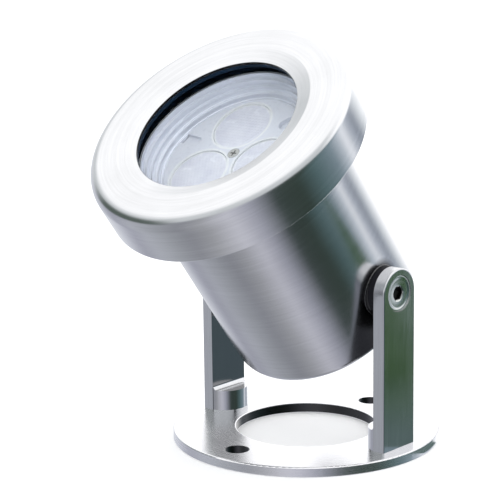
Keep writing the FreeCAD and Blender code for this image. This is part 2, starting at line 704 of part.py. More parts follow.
def make_gland_washer():
    inner = GLAND_THREAD_D / 2
    return turned((inner, w_gland_flange), (inner + GLAND_WASHER_W, w_gland_flange),
                  (inner + GLAND_WASHER_W, w_rear), (inner, w_rear))


def make_gland_locknut():
    nut = hexagon(GLAND_AF, w_floor, w_floor + LOCKNUT_T)
    return nut.cut(drill(GLAND_THREAD_D / 2, w_floor, w_floor + LOCKNUT_T))


def make_gland_insert():
    """Rubber sleeve that the nut squeezes on to the cable."""
    outer = GLAND_INSERT_D / 2 - FIT_GAP / 2
    return turned((cable_r, w_gland_end), (outer, w_gland_end),
                  (outer, w_gland_end + GLAND_INSERT_L), (cable_r, w_gland_end + GLAND_INSERT_L))


def make_gland_nut():
    """Domed hexagonal nut."""
    dome_l = GLAND_NUT_L / 3
    nut = hexagon(GLAND_AF, w_gland_tip, w_gland_nut)
    corner_r = GLAND_AF / math.sqrt(3)
    mouth_r = cable_pass_r + NUT_MOUTH_WALL
    waist_r = (corner_r + mouth_r) / 2 + NUT_DOME_BULGE
    dome = turned((0, w_gland_tip), (mouth_r, w_gland_tip),
                  ((waist_r, w_gland_tip + dome_l / 3), (corner_r, w_gland_tip + dome_l)),
                  (corner_r, w_gland_nut), (0, w_gland_nut))
    nut = nut.common(dome)
    nut = nut.cut(drill(cable_pass_r, w_gland_tip, w_gland_nut))
    return nut.cut(rod(GLAND_NECK_D / 2, w_gland_end, w_gland_nut + OVERCUT))


# ---------------------------------------------------------------- assembly
def bracket_nodes():
    arm = make_arm()
    washer = make_spacer_washer()
    return {
        "base_ring": make_base_ring(),
        "foot_screws": make_foot_screws(),
        "arm_right": arm,
        "arm_left": mirror_x(arm),
        "spacer_washer_right": washer,
        "spacer_washer_left": mirror_x(washer),
    }


def head_nodes():
    boss = make_pivot_boss()
    screw = make_pivot_screw()
    nodes = {
        "housing": make_housing(),
        "pivot_boss_right": boss,
        "pivot_boss_left": mirror_x(boss),
        "pivot_screw_right": screw,
        "pivot_screw_left": mirror_x(screw),
        "bezel_ring": make_bezel_ring(),
        "front_gasket": make_front_gasket(),
        "front_glass": make_front_glass(),
        "glass_oring": make_glass_oring(),
        "reflector_ring": make_reflector_ring(),
        "lens_holder": make_lens_holder(),
        "lens_screw": make_lens_screw(),
        "led_board": make_led_board(),
        "board_screws": make_board_screws(),
        "heat_sink": make_heat_sink(),
        "standoffs": make_standoffs(),
        "driver_screws": make_driver_screws(),
        "driver_board": make_driver_board(),
        "transformer": make_transformer(),
        "capacitor": make_capacitor(),
        "inductor": make_inductor(),
        "rectifier": make_rectifier(),
        "driver_chip": make_driver_chip(),
        "terminal_block": make_terminal_block(),
        "led_wires": make_led_wires(),
        "gland_body": make_gland_body(),
        "gland_washer": make_gland_washer(),
        "gland_locknut": make_gland_locknut(),
        "gland_insert": make_gland_insert(),
        "gland_nut": make_gland_nut(),
    }
    for number, angle in enumerate(LENS_ANGLES, start=1):
        nodes["lens_%d" % number] = make_lens(angle)
        nodes["led_%d" % number] = make_led(angle)
    return {name: place_head(shape) for name, shape in nodes.items()}


def main():
    os.makedirs("parts", exist_ok=True)
    nodes = bracket_nodes()
    nodes.update(head_nodes())
    for name, shape in sorted(nodes.items()):
        shape.exportStep("parts/%s.step" % name)
        facts = (name, len(shape.Solids), shape.isValid(), shape.Volume)
        print("%-20s solids %d  valid %s  volume %.1f" % facts)


main()
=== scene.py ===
import json
import math

import bmesh
import bpy
from mathutils import Matrix, Vector


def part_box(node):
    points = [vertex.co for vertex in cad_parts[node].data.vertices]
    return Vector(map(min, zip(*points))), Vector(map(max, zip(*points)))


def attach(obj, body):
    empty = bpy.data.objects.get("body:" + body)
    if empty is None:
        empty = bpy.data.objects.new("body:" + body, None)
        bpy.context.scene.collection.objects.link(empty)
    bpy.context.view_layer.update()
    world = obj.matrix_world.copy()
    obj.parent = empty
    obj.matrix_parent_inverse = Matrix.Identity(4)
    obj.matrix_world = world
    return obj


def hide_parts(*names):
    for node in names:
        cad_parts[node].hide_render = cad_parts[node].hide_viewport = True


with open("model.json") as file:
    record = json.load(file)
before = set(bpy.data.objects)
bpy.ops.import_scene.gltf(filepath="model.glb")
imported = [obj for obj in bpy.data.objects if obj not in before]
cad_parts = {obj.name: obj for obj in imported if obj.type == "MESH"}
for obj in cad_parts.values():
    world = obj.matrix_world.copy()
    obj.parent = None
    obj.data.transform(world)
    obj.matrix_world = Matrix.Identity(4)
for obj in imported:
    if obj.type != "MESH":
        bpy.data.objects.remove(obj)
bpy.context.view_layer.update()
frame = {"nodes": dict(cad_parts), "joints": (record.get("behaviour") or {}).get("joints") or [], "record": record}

# Looks for a submersible spotlight: a turned stainless head between two arms on a ring foot.
# Metres throughout. Head pieces are drawn in the lamp frame, with the pivot as origin and +Z along
# the optical axis, and LAMP carries them into the shared frame.

NODES = frame["nodes"]
MM = 0.001

# ---------------------------------------------------------------- sizes that the frame doesn't state
SEGMENTS = 256            # points round a turned piece
EDGE_R = 0.25 * MM        # broken edges of turned pieces
BEZEL_RIM_R = 4.3 * MM
BEVEL_W = 4.8 * MM
BEVEL_DEPTH = 1.45 * MM
POCKET_CLEAR = 0.1 * MM   # room round the gasket in the bezel's pocket
BORE_CLEAR = 0.1 * MM     # room round the reflector ring in the housing's bore
COLLAR_STEP = 0.8 * MM    # part of the bezel's skirt that reaches back over the bare housing
THREAD_RELIEF = 0.5 * MM
HOUSING_WALL = 2.9 * MM
HOUSING_STEP = 1.0 * MM
REAR_WALL = 4.0 * MM
REAR_EDGE_R = 3.0 * MM
GLASS_EDGE_R = 0.5 * MM
LIP_ROUND = 0.3           # rounding of the gasket's lip, as a share of its thickness
REFLECTOR_STEPS = 4
REFLECTOR_FLOOR = 0.3 * MM
REFLECTOR_SKIN = 1.1 * MM
STEP_ROUND = 0.28 * MM
LENS_FLANGE_T = 1.5 * MM
LENS_FOOT_R = 4.2 * MM
LENS_CUP_WALL = 0.7 * MM
LENS_CUP_CURVE = 0.7      # power of the cup's flare
LENS_CUP_RINGS = 9
LENS_WELL_R = 0.7 * LENS_FOOT_R
LENS_WELL_DEPTH = 3.0 * MM
LENS_WELL_DOME = 1.0 * MM
LENS_SEGMENTS = 320
BEAD_PITCH = 1.25 * MM
BEAD_HEIGHT = 0.1 * MM
BEAD_RING_STEP = 0.16 * MM
SCREW_SEGMENTS = 144
SCREW_SHANK_R = 3.0 * MM
SCREW_RIM_T = 0.5 * MM    # upright rim above the countersink
SOCKET_AF = 4.0 * MM
SOCKET_DEPTH = 2.2 * MM
SOCKET_DRILL_TIP = 0.9 * MM
WELD_R = 0.3 * MM
WELD_RIPPLES = 34
WELD_RIPPLE_DEPTH = 0.14  # share of the bead's radius
LENS_RIM_W = 0.35 * MM    # white rim of a lens
HOLDER_LIP_W = 0.45 * MM  # white lip of the holder round a lens
BOSS_SHADE_W = 2.5 * MM    # from a pivot boss out to where the painted shade ends
HAIR = 0.05 * MM          # tolerance for picking a surface by its place
LENSES = ("lens_1", "lens_2", "lens_3")

# ---------------------------------------------------------------- lamp frame
PIVOT = Vector(frame["joints"][0]["pos_m"])
cable_entry = next(mount for mount in frame["record"]["mounts"] if mount["name"] == "cable_entry")
OPTICAL = -Vector(cable_entry["axis"]).normalized()
SIDE = Vector((1, 0, 0))
UP_FACE = OPTICAL.cross(SIDE)
LAMP = Matrix.Translation(PIVOT) @ Matrix((SIDE, UP_FACE, OPTICAL)).transposed().to_4x4()


def lamp_points(node):
    """Vertices of a head node in the lamp frame."""
    inverse = LAMP.inverted()
    return [inverse @ vertex.co for vertex in NODES[node].data.vertices]


def reach(node):
    """Smallest and largest radius, and lowest and highest level, of a head node in the lamp frame."""
    points = lamp_points(node)
    radii = [math.hypot(point.x, point.y) for point in points]
    levels = [point.z for point in points]
    return min(radii), max(radii), min(levels), max(levels)


def lens_centre(node):
    """Centre and radius of a lens in the lamp frame."""
    points = lamp_points(node)
    low_x, high_x = min(point.x for point in points), max(point.x for point in points)
    low_y, high_y = min(point.y for point in points), max(point.y for point in points)
    return Vector(((low_x + high_x) / 2, (low_y + high_y) / 2, 0)), (high_x - low_x) / 2


def boss_radius():
    """Outer radius of the bosses that take the pivot screws."""
    low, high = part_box("pivot_boss_right")
    return (high.y - low.y) / 2


# ---------------------------------------------------------------- mesh helpers
WELD_DISTANCE = 1e-7      # vertices closer than this are one
SHARP_ANGLE = math.radians(40)


def new_piece(name, verts, faces, slot, *stands_for, place=None):
    """Mesh object with smooth faces and face-weighted normals, riding on the head.

    Points are in the lamp frame, or, where place is given, in a frame of the piece's own.
    """
    mesh = bpy.data.meshes.new(name)
    mesh.from_pydata(verts if place else [LAMP @ Vector(point) for point in verts], [], faces)
    welded = bmesh.new()
    welded.from_mesh(mesh)
    bmesh.ops.remove_doubles(welded, verts=welded.verts, dist=WELD_DISTANCE)
    bmesh.ops.recalc_face_normals(welded, faces=welded.faces)
    welded.to_mesh(mesh)
    welded.free()
    mesh.shade_smooth()
    mesh.set_sharp_from_angle(angle=SHARP_ANGLE)
    mesh.materials.append(MATERIALS[slot])
    piece = bpy.data.objects.new(name, mesh)
    bpy.context.collection.objects.link(piece)
    piece.matrix_world = place or Matrix.Identity(4)
    normals = piece.modifiers.new("face_weighted", "WEIGHTED_NORMAL")
    normals.keep_sharp = True
    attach(piece, "head")
    if stands_for:
        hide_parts(*stands_for)
    return piece


def rounded_outline(corners, steps=8):
    """Closed outline from corners (radius, level, rounding)."""
    outline = []
    for i, (radius, level, rounding) in enumerate(corners):
        corner = Vector((radius, level))
        if not rounding:
            outline.append(corner)
            continue
        back = (Vector(corners[i - 1][:2]) - corner).normalized()
        ahead = (Vector(corners[(i + 1) % len(corners)][:2]) - corner).normalized()
        half = back.angle(ahead) / 2
        centre = corner + (back + ahead).normalized() * rounding / math.sin(half)
        start = corner + back * rounding / math.tan(half) - centre
        end = corner + ahead * rounding / math.tan(half) - centre
        turn = math.atan2(start.x * end.y - start.y * end.x, start.dot(end))
        for step in range(steps + 1):
            angle = turn * step / steps
            outline.append(centre + Matrix.Rotation(angle, 2) @ start)
    return outline


def loft(rings, closed=False):
    """Vertices and quads through rings that have the same number of points."""
    count = len(rings[0])
    verts = [point for ring in rings for point in ring]
    faces = []
    for i in range(len(rings) if closed else len(rings) - 1):
        low, high = i * count, (i + 1) % len(rings) * count
        for j in range(count):
            k = (j + 1) % count
            faces.append((low + j, low + k, high + k, high + j))
    return verts, faces


def circle(radius, level, count=SEGMENTS):
    """Ring of points; the radius is a number, or a function of the angle."""
    ring = []
    for i in range(count):
        angle = math.tau * i / count
        reach_here = radius(angle) if callable(radius) else radius
        ring.append((reach_here * math.cos(angle), reach_here * math.sin(angle), level))
    return ring


def turned(name, corners, slot, node):
    """Turned piece from corners (radius, level, rounding) of its section; it stands for a CAD node."""
    rings = [circle(point.x, point.y) for point in rounded_outline(corners)]
    verts, faces = loft(rings, closed=True)
    return new_piece(name, verts, faces, slot, node)


# ---------------------------------------------------------------- material helpers
class Nodes:
    """Small builder for the node tree of a new material, or of the world."""

    def __init__(self, name, world=False):
        self.owner = (bpy.data.worlds if world else bpy.data.materials).new(name)
        self.owner.use_nodes = True
        self.tree = self.owner.node_tree
        self.tree.nodes.clear()
        self.output = self.add("ShaderNodeOutputWorld" if world else "ShaderNodeOutputMaterial")

    def add(self, kind, **settings):
        node = self.tree.nodes.new(kind)
        for key, value in settings.items():
            setattr(node, key, value)
        return node

    def link(self, source, target):
        self.tree.links.new(source, target)

    def math(self, operation, *values):
        node = self.add("ShaderNodeMath", operation=operation)
        for socket, value in zip(node.inputs, values):
            if isinstance(value, bpy.types.NodeSocket):
                self.link(value, socket)
            else:
                socket.default_value = value
        return node.outputs[0]

    def mean(self, first, second, share):
        """Weighted mean of two values; share is the weight of the first."""
        weighted = self.math("MULTIPLY", first, share)
        return self.math("ADD", weighted, self.math("MULTIPLY", second, 1 - share))

    def noise(self, vector, scale, detail=3.0, roughness=0.55):
        node = self.add("ShaderNodeTexNoise")
        node.inputs["Scale"].default_value = scale
        node.inputs["Detail"].default_value = detail
        node.inputs["Roughness"].default_value = roughness
        self.link(vector, node.inputs["Vector"])
        return node.outputs["Fac"]

    def spread(self, value, low, high, from_low=0.3, from_high=0.7):
        node = self.add("ShaderNodeMapRange")
        ends = (("From Min", from_low), ("From Max", from_high), ("To Min", low), ("To Max", high))
        for key, number in ends:
            node.inputs[key].default_value = number
        self.link(value, node.inputs["Value"])
        return node.outputs[0]

    def blend(self, factor, first, second):
        """Colour between two colours, each a tuple or a socket."""
        node = self.add("ShaderNodeMix", data_type="RGBA")
        self.link(factor, next(socket for socket in node.inputs if socket.type == "VALUE"))
        colour_sockets = [socket for socket in node.inputs if socket.type == "RGBA"]
        for socket, value in zip(colour_sockets, (first, second)):
            if isinstance(value, bpy.types.NodeSocket):
                self.link(value, socket)
            else:
                socket.default_value = (*value, 1)
        return next(socket for socket in node.outputs if socket.type == "RGBA")

    def distance(self, position, centre):
        """Distance from a point of the XY plane, whatever the level."""
        flat = self.stretched(position, (1, 1, 0))
        node = self.add("ShaderNodeVectorMath", operation="DISTANCE")
        self.link(flat, node.inputs[0])
        node.inputs[1].default_value = (centre[0], centre[1], 0)
        return node.outputs["Value"]

    def axis(self, position, letter):
        split = self.add("ShaderNodeSeparateXYZ")
        self.link(position, split.inputs[0])
        return split.outputs[letter]

    def coordinates(self, in_lamp_frame):
        """The shared frame's coordinates or the lamp frame's, or those of a piece with its own frame."""
        position = self.add("ShaderNodeTexCoord").outputs["Object"]
        if not in_lamp_frame:
            return position
        mapping = self.add("ShaderNodeMapping")
        inverse = LAMP.inverted()
        mapping.inputs["Location"].default_value = inverse.translation
        mapping.inputs["Rotation"].default_value = inverse.to_euler()
        self.link(position, mapping.inputs["Vector"])
        return mapping.outputs["Vector"]

    def turned_coordinates(self, position, stretch):
        """(radius, level, angle * stretch): a pattern drawn here runs round the axis."""
        split = self.add("ShaderNodeSeparateXYZ")
        self.link(position, split.inputs[0])
        x, y, z = split.outputs
        squares = self.math("ADD", self.math("MULTIPLY", x, x), self.math("MULTIPLY", y, y))
        radius = self.math("SQRT", squares)
        angle = self.math("ABSOLUTE", self.math("ARCTAN2", y, x))
        join = self.add("ShaderNodeCombineXYZ")
        self.link(radius, join.inputs[0])
        self.link(z, join.inputs[1])
        self.link(self.math("MULTIPLY", angle, stretch), join.inputs[2])
        return join.outputs[0]

    def stretched(self, position, scale):
        mapping = self.add("ShaderNodeMapping")
        mapping.inputs["Scale"].default_value = scale
        self.link(position, mapping.inputs["Vector"])
        return mapping.outputs["Vector"]

    def bump(self, height, strength, distance):
        node = self.add("ShaderNodeBump")
        node.inputs["Strength"].default_value = strength
        node.inputs["Distance"].default_value = distance
        self.link(height, node.inputs["Height"])
        return node.outputs["Normal"]

    def principled(self, **values):
        """Principled shader; a socket gets a link, and a number is set on the socket itself."""
        shader = self.add("ShaderNodeBsdfPrincipled")
        for key, value in values.items():
            socket = shader.inputs[key.replace("_", " ")]
            if isinstance(value, bpy.types.NodeSocket):
                self.link(value, socket)
            else:
                socket.default_value = value
        self.show(shader)

    def glow(self, colour):
        """Plain emission of a colour that is a socket."""
        emission = self.add("ShaderNodeEmission")
        self.link(colour, emission.inputs["Color"])
        self.show(emission)

    def show(self, shader):
        self.link(shader.outputs[0], self.output.inputs["Surface"])


# Noise scales, per metre.
FINE_GRAIN = 2600
BROAD_GRAIN = 420
STEEL_CLOUD = 55
MOULD_GRAIN = 900
MOULD_CLOUD = 90
LENS_CLOUD = 210
GLASS_HAZE = 120
TURNED_STRETCH = 0.0006   # how slowly the grain changes round the axis
BRUSHED_STRETCH = 0.03    # and along a brushed bar
GROOVE_DEPTH = 0.04 * MM
MOULD_DEPTH = 0.03 * MM
MOULD_BUMP = 0.15
FINE_SHARE = 0.6          # of the fine grain in the lines; the broad grain has the rest
LINES_SHARE = 0.6         # of the lines in the steel's shade; the cloud has the rest
STEEL_TONES = (0.88, 1.07)
STEEL_ROUGH = (0.8, 1.25)
MOULD_ROUGH = (0.85, 1.15)
LEFT_ARM_SHADE_SHARE = 0.72      # painted shade on the left arm's inner face, as a share of that on the right one's
NEAR_WALL = 0.8           # share of a boss's reach along X beyond which the painted shade shows


def steel(name, tone, rough, grain, in_lamp_frame=False, groove=0.12, painted_shade=None, painted_shade_tone=0.2):
    """Stainless steel. grain is "turned", "upright" (brushed along Z) or "polished".

    The shade function, called with (nodes, position), gives the share of painted shade in recesses and gaps, which
    takes the tone down to the shade tone.
    """
    nodes = Nodes(name)
    position = nodes.coordinates(in_lamp_frame)
    if grain == "turned":
        lines_at = nodes.turned_coordinates(position, TURNED_STRETCH)
    elif grain == "upright":
        lines_at = nodes.stretched(position, (1, 1, BRUSHED_STRETCH))
    else:
        lines_at = position
    fine = nodes.noise(lines_at, FINE_GRAIN, 2.0)
    broad = nodes.noise(lines_at, BROAD_GRAIN)
    cloud = nodes.noise(position, STEEL_CLOUD, 4.0)
    lines = nodes.mean(fine, broad, FINE_SHARE)
    shade = nodes.mean(lines, cloud, LINES_SHARE)
    dark, light = ([min(1.0, channel * share) for channel in tone] for share in STEEL_TONES)
    colour = nodes.blend(nodes.spread(shade, 0, 1), dark, light)
    roughness = nodes.spread(shade, *(rough * share for share in STEEL_ROUGH))
    # Painted shade: the colour is darkened where recesses and gaps would lie in shadow.
    if painted_shade:
        colour = nodes.blend(painted_shade(nodes, position), colour, [channel * painted_shade_tone for channel in tone])
    normal = nodes.bump(lines, groove, GROOVE_DEPTH)
    nodes.principled(Base_Color=colour, Metallic=1.0, Roughness=roughness, Normal=normal)
    return nodes.owner


def painted_shade_in_holes(nodes, position):
    """Painted shade on the walls of the foot ring's bore and of its fixing holes."""
    holes = next(mount for mount in frame["record"]["mounts"] if mount["name"] == "fixing_holes")["dims"]
    hole_y, hole_r = holes["spacing_y_mm"] / 2 * MM, holes["hole_r_mm"] * MM
    bore_r = min(math.hypot(vertex.co.x, vertex.co.y) for vertex in NODES["base_ring"].data.vertices)
    share = nodes.math("LESS_THAN", nodes.distance(position, (0, 0)), bore_r + HAIR)
    for side in (-1, 1):
        from_hole = nodes.distance(position, (0, side * hole_y))
        share = nodes.math("MAXIMUM", share, nodes.math("LESS_THAN", from_hole, hole_r + HAIR))
    return share


def painted_shade_on_arms(nodes, position):
    """Painted shade on the inner faces of the two arms; the left one gets less of it."""
    inner_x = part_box("spacer_washer_right")[1].x
    right = nodes.math("COMPARE", nodes.axis(position, "X"), inner_x, HAIR)
    left = nodes.math("COMPARE", nodes.axis(position, "X"), -inner_x, HAIR)
    return nodes.math("MAXIMUM", right, nodes.math("MULTIPLY", left, LEFT_ARM_SHADE_SHARE))


def painted_shade_round_boss(nodes, position):
    """Painted shade on the housing and the bosses in the gap beside the arms, fading away from the welds."""
    boss_r = boss_radius()
    boss_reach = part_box("pivot_boss_right")[1].x
    across = nodes.stretched(position, (0, 1, 1))
    node = nodes.add("ShaderNodeVectorMath", operation="LENGTH")
    nodes.link(across, node.inputs[0])
    near_weld = nodes.spread(node.outputs["Value"], 1, 0, boss_r + WELD_R, boss_r + BOSS_SHADE_W)
    out = nodes.math("ABSOLUTE", nodes.axis(position, "X"))
    return nodes.math("MULTIPLY", near_weld, nodes.math("GREATER_THAN", out, boss_reach * NEAR_WALL))


def painted_shade_on_land(nodes, position):
    """Painted shade on the narrow upright land between the window's bevel and the gasket."""
    return nodes.math("LESS_THAN", nodes.distance(position, (0, 0)), reach("bezel_ring")[0] + HAIR)


def painted_shade_in_socket(nodes, position):
    """Painted shade inside a screw's drive socket, darker with depth, drawn with the screw's face at level 0."""
    return nodes.spread(nodes.axis(position, "Z"), 1, 0, -SOCKET_DEPTH / 3, -SOCKET_DEPTH / 8)


def moulded(name, tone, rough, grain_scale=MOULD_GRAIN, coat=0.0, metallic=0.0, variation=0.12,
            specular=0.5):
    """Plastic, rubber, plating or bare board: mottled colour and a fine moulded grain."""
    nodes = Nodes(name)
    position = nodes.coordinates(False)
    grain = nodes.noise(position, grain_scale)
    cloud = nodes.noise(position, MOULD_CLOUD)
    dark = [channel * (1 - variation) for channel in tone]
    light = [min(1.0, channel * (1 + variation)) for channel in tone]
    colour = nodes.blend(nodes.spread(cloud, 0, 1), dark, light)
    roughness = nodes.spread(grain, *(rough * share for share in MOULD_ROUGH))
    normal = nodes.bump(grain, MOULD_BUMP, MOULD_DEPTH)
    nodes.principled(
        Base_Color=colour, Roughness=roughness, Normal=normal, Coat_Weight=coat, Metallic=metallic,
        Specular_IOR_Level=specular)
    return nodes.owner


HEAD_ON_MIRROR = 0.04     # share that glass mirrors when seen square on
GRAZING_POWER = 5.0
GLASS_TINTS = (0.965, 0.98, 0.99), (0.98, 0.99, 0.995)
GLASS_ROUGH = 0.03
LENS_LILACS = (0.74, 0.745, 0.85), (0.89, 0.895, 0.97)
LENS_WHITE = (0.93, 0.94, 0.96)
HOLDER_WHITE = (0.96, 0.97, 0.98)
HOLDER_PALE = (0.81, 0.83, 0.90)


def window_glass():
    """Flat toughened glass: see-through, with a mirror share that grows towards the edge."""
    nodes = Nodes("window_glass")
    haze = nodes.noise(nodes.coordinates(False), GLASS_HAZE)
    clear = nodes.add("ShaderNodeBsdfTransparent")
    tint = nodes.blend(nodes.spread(haze, 0, 1), *GLASS_TINTS)
    nodes.link(tint, clear.inputs["Color"])
    gloss = nodes.add("ShaderNodeBsdfGlossy")
    gloss.inputs["Roughness"].default_value = GLASS_ROUGH
    facing = nodes.add("ShaderNodeLayerWeight")
    facing.inputs["Blend"].default_value = 0.5
    grazing = nodes.math("POWER", facing.outputs["Facing"], GRAZING_POWER)
    mix = nodes.add("ShaderNodeMixShader")
    mirror = nodes.math("MULTIPLY_ADD", grazing, 1 - HEAD_ON_MIRROR, HEAD_ON_MIRROR)
    for source, socket in zip((mirror, clear.outputs[0], gloss.outputs[0]), mix.inputs):
        nodes.link(source, socket)
    nodes.show(mix)
    return nodes.owner


def lens_acrylic():
    """Beaded acrylic over the reflector cup: pale lilac and glossy, with a white rim."""
    nodes = Nodes("lens_acrylic")
    position = nodes.coordinates(False)
    lens_r = lens_centre("lens_1")[1]
    cloud = nodes.noise(nodes.stretched(position, (1, 1, 0.4)), LENS_CLOUD, 2.0)
    lilac = nodes.blend(nodes.spread(cloud, 0, 1), *LENS_LILACS)
    from_centre = nodes.distance(position, (0, 0))
    rim = nodes.spread(from_centre, 0, 1, lens_r - 2 * LENS_RIM_W, lens_r - LENS_RIM_W)
    nodes.principled(
        Base_Color=nodes.blend(rim, lilac, LENS_WHITE), Roughness=nodes.spread(cloud, 0.14, 0.3),
        Coat_Weight=0.6, Coat_Roughness=0.08, IOR=1.49)
    return nodes.owner


def holder_plastic():
    """Pale moulded plastic, whiter on the lips round the lenses."""
    nodes = Nodes("holder_plastic")
    position = nodes.coordinates(True)
    grain = nodes.noise(position, MOULD_GRAIN)
    gaps = []
    for node in LENSES:
        centre, lens_r = lens_centre(node)
        gaps.append(nodes.math("SUBTRACT", nodes.distance(position, centre), lens_r))
    nearest = nodes.math("MINIMUM", nodes.math("MINIMUM", gaps[0], gaps[1]), gaps[2])
    away = nodes.spread(nearest, 0, 1, HOLDER_LIP_W, 2 * HOLDER_LIP_W)
    colour = nodes.blend(away, HOLDER_WHITE, HOLDER_PALE)
    roughness = nodes.spread(grain, 0.25, 0.35)
    normal = nodes.bump(grain, MOULD_BUMP, MOULD_DEPTH)
    nodes.principled(Base_Color=colour, Roughness=roughness, Normal=normal, Coat_Weight=0.2)
    return nodes.owner


# One material for each material slot of the record; screw_steel_cad is for the screws that stay CAD.
MATERIALS = {
    # Painted shade darkens the walls of the ring's bore and fixing holes.
    "base_steel": steel("base_steel", (0.80, 0.80, 0.815), 0.26, "turned", groove=0.04,
                        painted_shade=painted_shade_in_holes, painted_shade_tone=0.08),
    # Painted shade darkens the arms' inner faces, which face the housing.
    "arm_steel": steel("arm_steel", (0.64, 0.645, 0.66), 0.15, "upright",
                       painted_shade=painted_shade_on_arms, painted_shade_tone=0.1),
    # Painted shade darkens the housing round the bosses, in the gap beside the arms.
    "housing_steel": steel("housing_steel", (0.63, 0.635, 0.65), 0.20, "turned", in_lamp_frame=True,
                           painted_shade=painted_shade_round_boss, painted_shade_tone=0.15),
    # Painted shade darkens the land between the window's bevel and the gasket.
    "bezel_steel": steel("bezel_steel", (0.70, 0.705, 0.715), 0.17, "turned", in_lamp_frame=True,
                         painted_shade=painted_shade_on_land, painted_shade_tone=0.04),
    # Painted shade darkens the inside of the drive socket.
    "screw_steel": steel("screw_steel", (0.60, 0.62, 0.60), 0.2, "turned",
                         painted_shade=painted_shade_in_socket, painted_shade_tone=0.15),
    "screw_steel_cad": steel("screw_steel_cad", (0.46, 0.46, 0.44), 0.35, "polished"),
    "gland_steel": steel("gland_steel", (0.60, 0.61, 0.62), 0.2, "turned", in_lamp_frame=True),
    "seal_rubber": moulded("seal_rubber", (0.005, 0.019, 0.043), 0.55, 1500,
                           variation=0.3, specular=0.15),
    "window_glass": window_glass(),
    "reflector_metal": moulded("reflector_metal", (0.88, 0.90, 0.97), 0.2, 600,
                               metallic=0.6, variation=0.03),
    "holder_plastic": holder_plastic(),
    "lens_acrylic": lens_acrylic(),
    "board_white": moulded("board_white", (0.86, 0.86, 0.84), 0.4, coat=0.3, variation=0.04),
    "led_chip": moulded("led_chip", (0.85, 0.66, 0.14), 0.3, coat=0.5),
    "sink_aluminium": steel("sink_aluminium", (0.72, 0.73, 0.74), 0.3, "turned", in_lamp_frame=True),
    "standoff_brass": moulded("standoff_brass", (0.78, 0.58, 0.26), 0.3, metallic=1.0),
    "board_green": moulded("board_green", (0.02, 0.20, 0.08), 0.35, coat=0.4),
    "ferrite": moulded("ferrite", (0.06, 0.055, 0.055), 0.6),
    "capacitor_can": moulded("capacitor_can", (0.02, 0.03, 0.08), 0.3, coat=0.4),
    "chip_black": moulded("chip_black", (0.02, 0.02, 0.02), 0.5),
    "terminal_plastic": moulded("terminal_plastic", (0.03, 0.22, 0.09), 0.35),
    # Black nylon washers; their black also stands in for the shade in the gap between arm and housing.
    "washer_nylon": moulded("washer_nylon", (0.008, 0.008, 0.012), 0.6, 1400,
                            variation=0.25, specular=0.2),
    "wire_red": moulded("wire_red", (0.45, 0.02, 0.015), 0.4),
}


def finish_cad_nodes():
    """Gives each CAD node its slot's material, or the slot's _cad variant where there is one.

    The foot ring stays out of the other pieces' reflections, as the floor does.
    """
    NODES["base_ring"].visible_glossy = False
    for row in frame["record"]["subparts"]:
        slot = row["material_slot"]
        material = MATERIALS.get(slot + "_cad", MATERIALS[slot])
        for socket in NODES[row["node"]].material_slots:
            socket.material = material


# ---------------------------------------------------------------- head pieces
def make_bezel():
    """Front ring with a bevel round the window, a rounded rim and a threaded skirt."""
    window_r, bezel_r, rear, face = reach("bezel_ring")
    thread_r, rim = reach("housing")[1], reach("housing")[3]
    pocket_r = reach("front_gasket")[1] + POCKET_CLEAR
    lip = reach("front_gasket")[3]
    thread_top = rim + THREAD_RELIEF
    corners = [
        (window_r, lip, EDGE_R), (window_r, face - BEVEL_DEPTH, EDGE_R),
        (window_r + BEVEL_W, face, 3 * EDGE_R), (bezel_r, face, BEZEL_RIM_R),
        (bezel_r, rear, 2 * EDGE_R), (thread_r, rear, 0), (thread_r, thread_top, 0),
        (pocket_r, thread_top, 0), (pocket_r, lip, 0),
    ]
    turned("bezel", corners, "bezel_steel", "bezel_ring")


def make_housing():
    """Turned shell with a threaded mouth and a flat rear wall; gives back its outer radius."""
    gland_r, thread_r, rear, rim = reach("housing")
    collar_rear = reach("bezel_ring")[2] + COLLAR_STEP
    shoulder = reach("heat_sink")[2]
    bore_r = reach("reflector_ring")[1] + BORE_CLEAR
    housing_r = bore_r + HOUSING_WALL
    floor = rear + REAR_WALL
    corners = [
        (gland_r, rear, 0), (housing_r, rear, REAR_EDGE_R), (housing_r, collar_rear, 0),
        (thread_r, collar_rear, 0), (thread_r, rim, EDGE_R), (bore_r, rim, EDGE_R),
        (bore_r, shoulder, 0), (bore_r - HOUSING_STEP, shoulder, 0),
        (bore_r - HOUSING_STEP, floor, 0), (gland_r, floor, 0),
    ]
    turned("housing_shell", corners, "housing_steel", "housing")
    return housing_r


def make_weld_bead(side, housing_r):
    """Rippled weld where a pivot boss enters the housing wall."""
    boss_r = boss_radius()
    path_count, tube_count = 204, 12
    rings = []
    for i in range(path_count):
        angle = math.tau * i / path_count
        across, along = boss_r * math.cos(angle), boss_r * math.sin(angle)
        out = math.sqrt(housing_r ** 2 - across ** 2)
        centre = Vector((side * out, across, along))
        normal = Vector((side * out, across, 0)) / housing_r
        outward = Vector((0, math.cos(angle), math.sin(angle)))
        outward = (outward - normal * outward.dot(normal)).normalized()
        radius = WELD_R * (1 + WELD_RIPPLE_DEPTH * math.cos(WELD_RIPPLES * angle))
        ring = []
        for j in range(tube_count):
            turn = math.tau * j / tube_count
            ring.append(centre + radius * (normal * math.sin(turn) + outward * math.cos(turn)))
        rings.append(ring)
    verts, faces = loft(rings, closed=True)
    name = "weld_bead_right" if side > 0 else "weld_bead_left"
    new_piece(name, verts, faces, "housing_steel")


def make_glass():
    _, glass_r, low, top = reach("front_glass")
    corners = [(0, low, 0), (glass_r, low, GLASS_EDGE_R), (glass_r, top, GLASS_EDGE_R), (0, top, 0)]
    turned("window_pane", corners, "window_glass", "front_glass")


